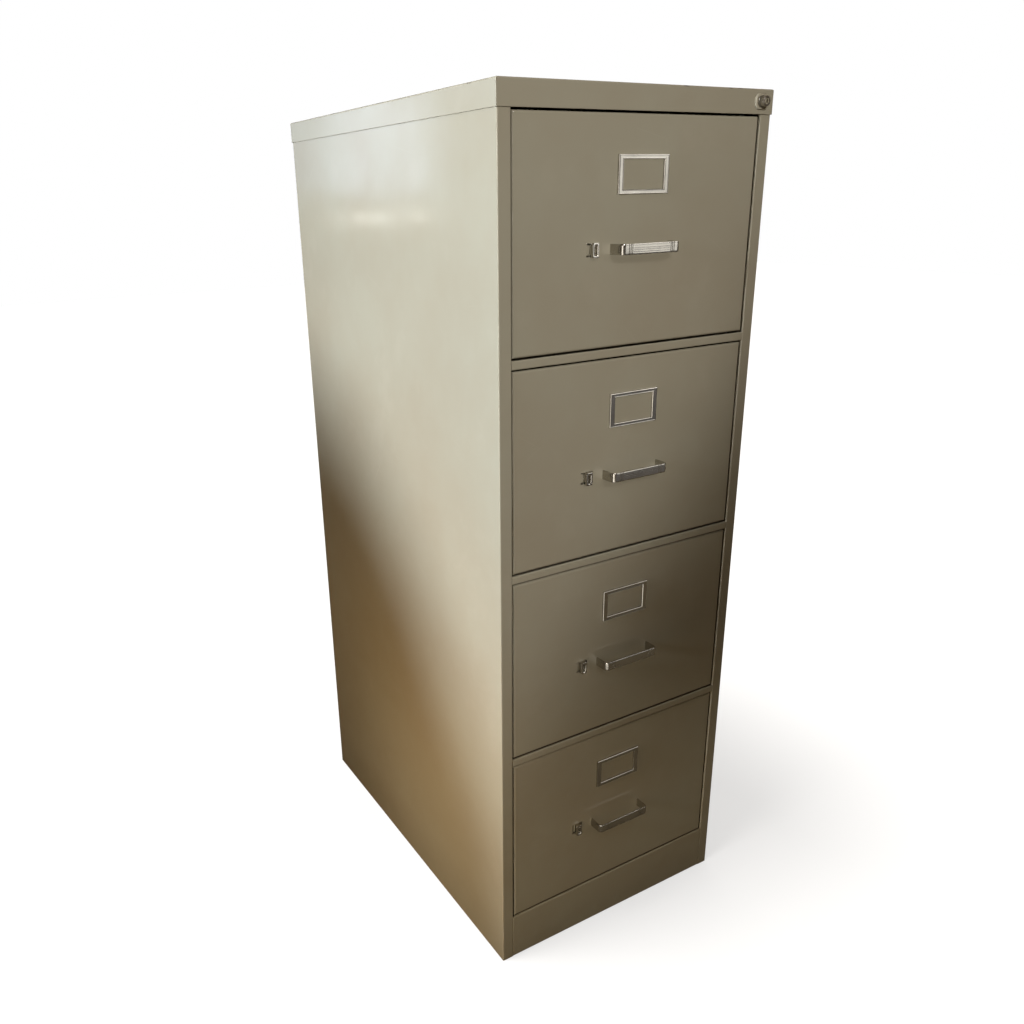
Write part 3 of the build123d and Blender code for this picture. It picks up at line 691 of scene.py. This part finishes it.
def makeLock():
    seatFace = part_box("top_cap")[0].y
    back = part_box("lock_housing")[1].y
    centre = Vector((lockCentre.x, 0, lockCentre.z))
    rise = lock["seatRise"]

    def seat(inset, y):
        return roundedRectangle(centre, lock["seatWidth"] - 2 * inset, lock["seatHeight"] - 2 * inset,
                                lock["seatCorner"] - 0.6 * inset, y, 8)

    # the seat is pressed out of the lid's sheet, so it is painted with it
    rings = [seat(-0.6 * mm, seatFace + 0.05 * mm)]
    rings += [seat(inset, seatFace - share * rise) for inset, share in lock["seatSteps"]]
    settle(meshPiece("lockSeat", *joinRings(rings), lidPaint, 50), "case", "case_paint")

    r, bore, top = lock["bezelRadius"], lock["boreRadius"], seatFace - rise - lock["bezelRise"]
    chamfer, inner = lock["chamfer"], r - lock["bezelLip"]
    profile = [(bore, back), (inner, back), (inner, seatFace), (r, seatFace), (r, top + 0.5 * mm),
               (r - 0.2 * mm, top + 0.15 * mm), (r - 0.6 * mm, top), (bore + chamfer, top),
               (bore, top + chamfer)]
    bezel = meshPiece("lockBezel", *lathedLoop(profile, centre), lockNickel, 40)
    settle(bezel, "case", "lock_plate", "lock_housing")

    # plug with an open keyway; both outlines have the same number of points
    def disc(radius, y):
        return roundedRectangle(centre, 2 * radius, 2 * radius, radius, y, 11)

    def keyway(y):
        return roundedRectangle(centre, lock["keyWidth"], lock["keyHeight"], 0.45 * lock["keyWidth"], y, 11)

    radius, front = (lockHigh.x - lockLow.x) / 2, lockLow.y
    rings = [disc(radius, lockHigh.y), disc(radius, front + chamfer), disc(radius - chamfer, front),
             keyway(front), keyway(front + lock["keyDepth"])]
    piece = meshPiece("lockPlug", *joinRings(rings), plugBrass, 30)
    return settle(piece, "lock_plug", "lock_brass", "lock_plug")


plug = makeLock()
print("lock made")


# What repeats is grown by Geometry Nodes: one tree per kind, baked to one mesh per body

def growthTree(name, sizes):
    # a tree that takes points with a "facing" direction, named sizes and a material
    tree = bpy.data.node_groups.new(name, "GeometryNodeTree")
    tree.interface.new_socket("Geometry", in_out="INPUT", socket_type="NodeSocketGeometry")
    for label, value in sizes.items():
        kind = "NodeSocketInt" if isinstance(value, int) else "NodeSocketFloat"
        tree.interface.new_socket(label, in_out="INPUT", socket_type=kind).default_value = value
    tree.interface.new_socket("Material", in_out="INPUT", socket_type="NodeSocketMaterial")
    tree.interface.new_socket("Geometry", in_out="OUTPUT", socket_type="NodeSocketGeometry")
    add = partial(addNode, tree)
    return tree, add, add("NodeGroupInput").node.outputs


def ringMesh(add, radius, thickness, width, rounding, segments):
    # rounded band of the given width round the local Z axis
    path = add("GeometryNodeCurvePrimitiveCircle", {"Resolution": segments, "Radius": radius}, "Curve")
    section = add("GeometryNodeCurvePrimitiveQuadrilateral", {"Width": thickness, "Height": width})
    section = add("GeometryNodeFilletCurve", {"Curve": section, "Radius": rounding, "Count": 3}, mode="POLY")
    return add("GeometryNodeCurveToMesh", {"Curve": path, "Profile Curve": section})


def domeMesh(add, radius, height, segments, lift=0.0):
    # low round head, its lower half sunk in the sheet
    ball = add("GeometryNodeMeshUVSphere", {"Segments": segments, "Rings": 12, "Radius": 1.0}, "Mesh")
    scale = add("ShaderNodeCombineXYZ", {"X": radius, "Y": radius, "Z": height})
    move = add("ShaderNodeCombineXYZ", {"Z": lift})
    return add("GeometryNodeTransform", {"Geometry": ball, "Scale": scale, "Translation": move})


def finishTree(add, given, parts, spin=0.0, sizeSpread=0.0):
    # the joined parts on each point, their Z axis along the point's facing direction
    shape = add("GeometryNodeJoinGeometry", {0: parts})
    facing = add("GeometryNodeInputNamedAttribute", {"Name": "facing"}, data_type="FLOAT_VECTOR")
    turn = add("FunctionNodeAlignRotationToVector", {"Vector": facing}, axis="Z")
    spins = add("FunctionNodeRandomValue", {"Min": (0, 0, -spin), "Max": (0, 0, spin), "Seed": 11},
                data_type="FLOAT_VECTOR")
    turn = add("FunctionNodeRotateRotation", {"Rotation": turn, "Rotate By": spins}, rotation_space="LOCAL")
    low, high = 1 - sizeSpread, 1 + sizeSpread
    size = add("FunctionNodeRandomValue", {"Min": (low, low, 1), "Max": (high, high, 1), "Seed": 4},
               data_type="FLOAT_VECTOR")
    grown = add("GeometryNodeInstanceOnPoints",
                {"Points": given["Geometry"], "Instance": shape, "Rotation": turn, "Scale": size})
    real = add("GeometryNodeRealizeInstances", {"Geometry": grown})
    coated = add("GeometryNodeSetMaterial", {"Geometry": real, "Material": given["Material"]})
    add("NodeGroupOutput", {"Geometry": coated})


def rivetTree():
    # domed head on a thin flange
    tree, add, given = growthTree("rivetHeads", {"Head Radius": 3 * mm, "Head Height": 0.5 * mm,
                                                 "Segments": 32})
    radius, height, segments = given["Head Radius"], given["Head Height"], given["Segments"]
    wide = add("ShaderNodeMath", {0: radius, 1: 1.25}, operation="MULTIPLY")
    thin = add("ShaderNodeMath", {0: height, 1: 0.35}, operation="MULTIPLY")
    heads = [domeMesh(add, radius, height, segments), domeMesh(add, wide, thin, segments)]
    finishTree(add, given, heads, spin=0.5, sizeSpread=0.03)
    return tree


def screwTree():
    # pan head with a cross recess standing on a washer
    tree, add, given = growthTree("panHeadScrews", {"Head Radius": 4 * mm, "Head Height": 2.4 * mm,
                                                    "Washer Radius": 6.5 * mm, "Washer Height": 1.6 * mm,
                                                    "Slot Width": 1.1 * mm, "Segments": 48})
    height, width = given["Head Height"], given["Slot Width"]
    long = add("ShaderNodeMath", {0: given["Head Radius"], 1: 1.1}, operation="MULTIPLY")
    lift = add("ShaderNodeMath", {0: height, 1: 1.05}, operation="MULTIPLY")
    slots = []
    for sizeX, sizeY in ((long, width), (width, long)):
        box = add("ShaderNodeCombineXYZ", {"X": sizeX, "Y": sizeY, "Z": height})
        cube = add("GeometryNodeMeshCube", {"Size": box}, "Mesh")
        up = add("ShaderNodeCombineXYZ", {"Z": lift})
        slots.append(add("GeometryNodeTransform", {"Geometry": cube, "Translation": up}))
    head = domeMesh(add, given["Head Radius"], height, given["Segments"])
    head = add("GeometryNodeMeshBoolean", {"Mesh 1": head, "Mesh 2": slots}, "Mesh", operation="DIFFERENCE")
    middle = add("ShaderNodeMath", {0: given["Washer Radius"], 1: 0.75}, operation="MULTIPLY")
    band = add("ShaderNodeMath", {0: given["Washer Radius"], 1: 0.5}, operation="MULTIPLY")
    washer = ringMesh(add, middle, band, given["Washer Height"], 0.2 * mm, given["Segments"])
    finishTree(add, given, [head, washer], spin=0.8)
    return tree


def weldTree():
    # spot weld: faint raised rim round a shallow dish, under the paint
    tree, add, given = growthTree("spotWelds", {"Rim Radius": 3 * mm, "Rim Width": 1.2 * mm,
                                                "Rim Height": 0.15 * mm, "Segments": 28})
    radius, height, segments = given["Rim Radius"], given["Rim Height"], given["Segments"]
    band = add("ShaderNodeMath", {0: height, 1: 2.0}, operation="MULTIPLY")
    small = add("ShaderNodeMath", {0: radius, 1: 0.45}, operation="MULTIPLY")
    flat = add("ShaderNodeMath", {0: height, 1: 0.5}, operation="MULTIPLY")
    rim = ringMesh(add, radius, given["Rim Width"], band, 0.1 * mm, segments)
    finishTree(add, given, [rim, domeMesh(add, small, flat, segments)], sizeSpread=0.12)
    return tree


def rollerTree():
    # turned roller: rounded tyre, recessed web, hub, riveted pin head on its free face
    tree, add, given = growthTree("rollers", {"Radius": 13 * mm, "Width": 4.6 * mm, "Tyre Depth": 3.2 * mm,
                                              "Hub Radius": 4.2 * mm, "Pin Radius": 2.6 * mm,
                                              "Pin Height": 0.45 * mm, "Segments": 64})
    width, depth, segments = given["Width"], given["Tyre Depth"], given["Segments"]
    hub, pinRadius = given["Hub Radius"], given["Pin Radius"]
    halfDepth = add("ShaderNodeMath", {0: depth, 1: 0.5}, operation="MULTIPLY")
    halfWidth = add("ShaderNodeMath", {0: width, 1: 0.5}, operation="MULTIPLY")
    middle = add("ShaderNodeMath", {0: given["Radius"], 1: halfDepth}, operation="SUBTRACT")
    hubMiddle = add("ShaderNodeMath", {0: hub, 1: 0.78}, operation="MULTIPLY")
    hubBand = add("ShaderNodeMath", {0: hub, 1: 0.44}, operation="MULTIPLY")
    tyre = ringMesh(add, middle, depth, width, 0.6 * mm, segments)
    web = add("GeometryNodeMeshCylinder", {"Vertices": segments, "Radius": middle, "Depth": halfWidth},
              "Mesh")
    boss = ringMesh(add, hubMiddle, hubBand, width, 0.3 * mm, segments)
    core = add("GeometryNodeMeshCylinder", {"Vertices": segments, "Radius": pinRadius, "Depth": width},
               "Mesh")
    pin = domeMesh(add, pinRadius, given["Pin Height"], segments, halfWidth)
    finishTree(add, given, [tyre, web, boss, core, pin])
    return tree


def grow(name, tree, spots, sizes, material):
    # spots are (place, facing) pairs in metres
    points = bpy.data.meshes.new(name + "Points")
    points.from_pydata([tuple(spot) for spot, _ in spots], [], [])
    facing = points.attributes.new("facing", "FLOAT_VECTOR", "POINT")
    for entry, (_, direction) in zip(facing.data, spots):
        entry.vector = direction
    holder = linked(bpy.data.objects.new(name + "Points", points))
    modifier = holder.modifiers.new("grow", "NODES")
    modifier.node_group = tree
    given = dict(sizes, Material=material)
    for item in tree.interface.items_tree:
        if item.in_out == "INPUT" and item.name in given:
            modifier[item.identifier] = given[item.name]
    bpy.context.view_layer.update()
    graph = bpy.context.evaluated_depsgraph_get()
    mesh = bpy.data.meshes.new_from_object(holder.evaluated_get(graph))
    holder.modifiers.remove(modifier)
    bpy.data.objects.remove(holder)
    mesh.name = name
    return linked(bpy.data.objects.new(name, smoothed(mesh, 35)))


def spread(low, high, inset, count):
    low, high = low + inset, high - inset
    return [low + (high - low) * i / (count - 1) for i in range(count)]


rollers = {
    "radius": 13 * mm,
    "width": 4.6 * mm,
    "drawerSide": 197.3 * mm,
    "caseSide": 203.4 * mm,
    "drawerPitch": 272 * mm,
    "casePitch": 246 * mm,
}


def makeRollers(n, tree):
    node = f"drawer_{n}_rollers"
    low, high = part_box(node)
    z, radius = (low.z + high.z) / 2, rollers["radius"]
    first, last = low.y + radius, high.y - radius
    spots = []
    for side in (-1, 1):
        # two that carry the drawer, then two that run in the case
        spots += [(Vector((side * rollers["drawerSide"], y, z)), (-side, 0, 0))
                  for y in (first, first + rollers["drawerPitch"])]
        spots += [(Vector((side * rollers["caseSide"], y, z)), (side, 0, 0))
                  for y in (last - rollers["casePitch"], last)]
    piece = grow(f"rollers{n}", tree, spots, {"Radius": radius, "Width": rollers["width"]}, rollerSteel)
    settle(piece, f"cradle_{n}", "roller_steel", node)


rivets = {
    "web": 1.2 * mm,
    "inside": 1.0 * mm,
    "inset": 22 * mm,
    "count": 7,
    "sizes": {"Head Radius": 3.2 * mm, "Head Height": 0.5 * mm},
}


def makeDrawerRivets(n, tree):
    low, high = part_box(f"drawer_{n}_channels")
    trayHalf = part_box(f"drawer_{n}_tray")[1].x
    z = (low.z + high.z) / 2
    spots = []
    for side in (-1, 1):
        for y in spread(low.y, high.y, rivets["inset"], rivets["count"]):
            spots.append((Vector((side * (trayHalf + rivets["web"]), y, z)), (side, 0, 0)))
            spots.append((Vector((side * (trayHalf - rivets["inside"]), y, z)), (-side, 0, 0)))
    piece = grow(f"channelRivets{n}", tree, spots, rivets["sizes"], slideZinc)
    settle(piece, f"drawer_{n}", "slide_steel")


def makeCaseRivets(tree):
    low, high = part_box("case_channels")
    spots = []
    for n in drawers:
        bottom, top = (corner.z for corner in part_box(f"drawer_{n}_channels"))
        spots += [(Vector((side * (high.x - rivets["web"]), y, (bottom + top) / 2)), (-side, 0, 0))
                  for side in (-1, 1) for y in spread(low.y, high.y, rivets["inset"], rivets["count"])]
    settle(grow("caseChannelRivets", tree, spots, rivets["sizes"], slideZinc), "case", "slide_steel")


screws = {
    "spread": 49.5 * mm,
    "sizes": {"Head Radius": 4 * mm, "Head Height": 2.2 * mm, "Washer Radius": 6.5 * mm},
}


def makePullScrews(n, tree):
    # the pull is held by two screws from inside the drawer
    low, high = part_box(f"drawer_{n}_pull")
    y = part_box(f"drawer_{n}_liner")[1].y
    spots = [(Vector((side * screws["spread"], y, (low.z + high.z) / 2)), (0, 1, 0)) for side in (-1, 1)]
    settle(grow(f"pullScrews{n}", tree, spots, screws["sizes"], slideZinc), f"drawer_{n}", "slide_steel")


welds = {
    "inset": 9 * mm,
    "pitch": 62 * mm,
    "sizes": {"Rim Radius": 3.2 * mm, "Rim Height": 0.14 * mm},
}


def makeWelds(tree):
    # along the edges of the back, where it is welded to the sides
    low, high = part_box("back_panel")
    heights = spread(low.z, high.z, welds["pitch"] / 2, round((high.z - low.z) / welds["pitch"]))
    spots = [(Vector((x, high.y, z)), (0, 1, 0)) for x in (low.x + welds["inset"], high.x - welds["inset"])
             for z in heights]
    settle(grow("spotWelds", tree, spots, welds["sizes"], casePaint), "case", "case_paint")


def growRepeats():
    rolling, riveting, screwing = rollerTree(), rivetTree(), screwTree()
    for n in drawers:
        makeRollers(n, rolling)
        makeDrawerRivets(n, riveting)
        makePullScrews(n, screwing)
    makeCaseRivets(riveting)
    makeWelds(weldTree())


growRepeats()
print("rollers, rivets, screws and welds grown")


# Floor, world and lights

studio = {
    "floorTone": "969593",
    "floorGrain": {"Scale": 3, "Detail": 3},
    "floorShade": 0.97,        # the darker patches of the paper, as a share of its tone
    "floorGlow": 0.54,         # added for the camera alone
    "floorDim": (0.17, 0.135, 0.085),   # what the floor throws back up at the cabinet, as a share of its tone
    "floorHalf": 12.0,
    "worldTone": "FFD9AE",
    "world": (0.022, 0.12),    # strength near the floor and overhead
    "card": "2A2620",
    "cardWorn": "332E27",
    "cardWear": {"Scale": 8, "Detail": 3},
    "cardSide": -1.2,
    "cardOutline": ((1.6, 1.56), (0.20, 1.16), (0.01, 1.105), (-0.12, 1.00), (-0.23, 0.86), (-0.335, 0.72),
                    (-0.45, 0.30), (-0.49, 0.0), (1.6, 0.0)),
}


def makeFloor():
    # pale paper sweep: it shows white, and throws little light back up at the cabinet
    material, add, coords = startMaterial("paleFloor")
    tone = hexColor(studio["floorTone"])
    darker = [c * studio["floorShade"] for c in tone[:3]] + [1.0]
    grain = add("ShaderNodeTexNoise", {"Vector": coords, **studio["floorGrain"]})
    color = add("ShaderNodeMix", {0: grain, 6: tone, 7: darker}, 2, data_type="RGBA")
    seen = add("ShaderNodeLightPath", output="Is Camera Ray")
    dimmed = [c * d for c, d in zip(tone, studio["floorDim"])] + [1.0]
    color = add("ShaderNodeMix", {0: seen, 6: dimmed, 7: color}, 2, data_type="RGBA")
    glow = add("ShaderNodeMath", {0: seen, 1: studio["floorGlow"]}, operation="MULTIPLY")
    coat(add, {"Base Color": color, "Emission Strength": glow, "Emission Color": (1, 1, 1, 1),
               "Roughness": 0.9, "Specular IOR Level": 0.1})
    half = studio["floorHalf"]
    corners = [(-half, -half, 0), (half, -half, 0), (half, half, 0), (-half, half, 0)]
    floor = meshPiece("floor", corners, [(0, 1, 2, 3)], material)
    return floor


def makeWorld():
    # white behind the cabinet, a dim room that brightens upwards for everything else
    world = bpy.data.worlds.new("studioWorld")
    world.use_nodes = True
    world.node_tree.nodes.clear()
    add = partial(addNode, world.node_tree)
    low, high = studio["world"]
    direction = add("ShaderNodeTexCoord", output="Generated")
    height = add("ShaderNodeSeparateXYZ", {0: direction}, "Z")
    strength = add("ShaderNodeMapRange", {"Value": height, "From Min": -0.1, "From Max": 0.7, "To Min": low,
                                          "To Max": high})
    room = add("ShaderNodeBackground", {"Color": hexColor(studio["worldTone"]), "Strength": strength})
    white = add("ShaderNodeBackground", {"Color": (1, 1, 1, 1), "Strength": 1.0})
    seen = add("ShaderNodeLightPath", output="Is Camera Ray")
    add("ShaderNodeOutputWorld", {"Surface": add("ShaderNodeMixShader", {0: seen, 1: room, 2: white})})
    bpy.context.scene.world = world
    bpy.context.scene.view_settings.view_transform = "Standard"


def makeCard():
    # black card beside the cabinet, out of the picture: keeps the window light off the lower back of its side
    material, add, coords = startMaterial("blackCard")
    worn = add("ShaderNodeTexNoise", {"Vector": coords, **studio["cardWear"]})
    color = add("ShaderNodeMix", {0: worn, 6: hexColor(studio["card"]), 7: hexColor(studio["cardWorn"])}, 2,
                data_type="RGBA")
    coat(add, {"Base Color": color, "Roughness": 0.9})
    points = [(studio["cardSide"], y, z) for y, z in studio["cardOutline"]]
    piece = meshPiece("card", points, [tuple(range(len(points)))], material)
    piece.visible_camera = False
    return piece


# receiver: what a lamp lights. blocker: what throws its shadow. hidden: the kind of ray that doesn't see it
lamps = {
    # for the floor alone: the lamp overhead that casts the shadow, and the white ceiling round it
    "overhead": {"kind": "SUN", "at": (0, 0, 4), "to": (0.95, -0.22, 1.2), "power": 3.8, "angle": 21,
                 "receiver": ("INCLUDE", "floor"), "blocker": ("EXCLUDE", "card")},
    "ceiling": {"kind": "SUN", "at": (0, 0, 4), "to": (0, 0, 0), "power": 2.4, "angle": 130,
                "receiver": ("INCLUDE", "floor"), "blocker": ("EXCLUDE", "card")},
    "window": {"kind": "SPOT", "at": (-3.0, -0.28, 1.7), "to": (-0.23, -0.15, 1.08), "power": 695,
               "color": "EEF4FF", "radius": 0.31, "cone": 58, "blend": 1.0, "receiver": ("EXCLUDE", "floor"),
               "hidden": "glossy"},
    # the window, its sill gap and the sky beside it, as the glossy side mirrors them
    "sheen": {"kind": "AREA", "at": (-2.2, 4.0, 1.52), "to": (-0.23, 0.0, 1.25), "power": 2.2,
              "color": "DCEAFF", "size": (0.62, 0.62), "receiver": ("EXCLUDE", "floor")},
    "streak": {"kind": "AREA", "at": (-2.2, 4.0, 1.09), "to": (-0.23, 0.0, 1.16), "power": 0.38,
               "color": "FFFFFA", "size": (0.56, 0.04), "receiver": ("EXCLUDE", "floor")},
    "sky": {"kind": "AREA", "at": (-2.5, 4.2, 1.95), "to": (-0.23, 0.0, 1.25), "power": 7.0,
            "color": "BCD8FF", "size": (2.6, 1.4), "receiver": ("EXCLUDE", "floor")},
    "front": {"kind": "SPOT", "at": (-0.7, -3.1, 2.5), "to": (-1.1, -0.33, 1.99), "power": 204,
              "color": "FFFAF8", "radius": 0.1, "cone": 65, "blend": 0.2,
              "receiver": ("EXCLUDE", "floor"), "blocker": ("EXCLUDE", "trim")},
    "frontSoft": {"kind": "SPOT", "at": (-0.7, -3.1, 2.5), "to": (-1.1, -0.33, 1.99), "power": 62,
                  "color": "FFFAF8", "radius": 0.28, "cone": 68, "blend": 0.35,
                  "receiver": ("EXCLUDE", "floor")},
    "corner": {"kind": "SPOT", "at": (-2.5, -1.5, 1.05), "to": (-0.40, -0.43, 0.12), "power": 140,
               "color": "FFF0DC", "radius": 0.1, "cone": 23, "blend": 1.0, "receiver": ("EXCLUDE", "floor"),
               "blocker": ("EXCLUDE", "trim")},
    # tall and narrow, seen only as the bright line along the rounded front corner
    "edge": {"kind": "AREA", "at": (-2.0, -1.25, 0.95), "to": (-0.23, -0.33, 0.75), "power": 7,
             "color": "FFFBEF", "size": (0.12, 1.7),
             "receiver": ("EXCLUDE", "floorAndTrim"), "hidden": "diffuse"},
    "warm": {"kind": "AREA", "at": (-0.95, -0.35, 0.4), "to": (-0.23, 0.0, 0.3), "power": 1.1,
             "color": "FFCB80", "size": (0.4, 0.4), "spread": 100,
             "receiver": ("EXCLUDE", "floorAndTrim"), "hidden": "glossy"},
    "behind": {"kind": "AREA", "at": (2.6, 2.8, 2.2), "to": (0, 0.1, 0.7), "power": 90, "color": "FFFDF8",
               "size": (2.2, 1.6), "receiver": ("EXCLUDE", "floor"), "hidden": "glossy"},
    # soft panels for the bright metal alone, as cards are put up for it in a studio
    "panelRight": {"kind": "AREA", "at": (2.25, -2.8, 1.2), "to": (0, -0.33, 1.1), "power": 7,
                   "color": "FFFDF8", "size": (1.6, 1.2), "receiver": ("INCLUDE", "trimAndPlug")},
    "panelAbove": {"kind": "AREA", "at": (1.2, -1.0, 2.1), "to": (0, -0.33, 0.8), "power": 11,
                   "color": "FFFDFA", "size": (1.5, 1.0), "receiver": ("INCLUDE", "upperTrim")},
    "panelFront": {"kind": "AREA", "at": (-1.3, -1.5, 0.7), "to": (0, -0.33, 0.75), "power": 7,
                   "color": "FFF8EE", "size": (0.8, 1.4), "receiver": ("INCLUDE", "trim")},
    "panelLow": {"kind": "AREA", "at": (-0.6, -0.95, 0.03), "to": (-0.3, -0.5, 0.6), "power": 2.5,
                 "color": "FFFAF2", "size": (1.1, 0.8), "receiver": ("INCLUDE", "trim")},
    "panelCool": {"kind": "AREA", "at": (1.0, -1.9, 0.02), "to": (0.2, -0.6, 0.7), "power": 0.9,
                  "color": "9CC4FF", "size": (2.6, 1.8), "receiver": ("INCLUDE", "trim")},
    "panelDim": {"kind": "AREA", "at": (1.2, -1.0, 2.1), "to": (0, -0.33, 0.8), "power": 4, "color": "FFFDFA",
                 "size": (1.5, 1.0), "receiver": ("INCLUDE", "lowFrames")},
}


def makeLamp(name, lamp):
    data = bpy.data.lights.new(name, lamp["kind"])
    data.energy = lamp["power"]
    data.color = hexColor(lamp.get("color", "FFFFFF"))[:3]
    if lamp["kind"] == "SUN":
        data.angle = math.radians(lamp["angle"])
    elif lamp["kind"] == "SPOT":
        data.shadow_soft_size = lamp["radius"]
        data.spot_size = math.radians(lamp["cone"])
        data.spot_blend = lamp["blend"]
    else:
        data.shape = "RECTANGLE"
        data.size, data.size_y = lamp["size"]
        data.spread = math.radians(lamp.get("spread", 180))
    light = linked(bpy.data.objects.new(name, data))
    light.location = lamp["at"]
    light.rotation_euler = (Vector(lamp["to"]) - Vector(lamp["at"])).to_track_quat("-Z", "Y").to_euler()
    light.visible_camera = False
    if "hidden" in lamp:
        setattr(light, "visible_" + lamp["hidden"], False)
    return light


def makeLights(floor, blackCard, trim, plug):
    lowFrames = [piece for piece in trim if piece.name in ("labelFrame3", "labelFrame4")]
    groups = {"floor": [floor], "card": [blackCard], "trim": trim, "floorAndTrim": [floor, *trim],
              "trimAndPlug": [*trim, plug], "lowFrames": lowFrames,
              "upperTrim": [piece for piece in trim if piece not in lowFrames]}
    for name, lamp in lamps.items():
        light = makeLamp(name, lamp)
        for kind in ("receiver", "blocker"):
            if kind in lamp:
                state, members = lamp[kind]
                group = bpy.data.collections.new(name + kind.title())
                for item in groups[members]:
                    group.objects.link(item)
                for entry in group.collection_objects:
                    entry.light_linking.link_state = state
                setattr(light.light_linking, kind + "_collection", group)


makeWorld()
makeLights(makeFloor(), makeCard(), trim, plug)
print("studio set")


print("done")
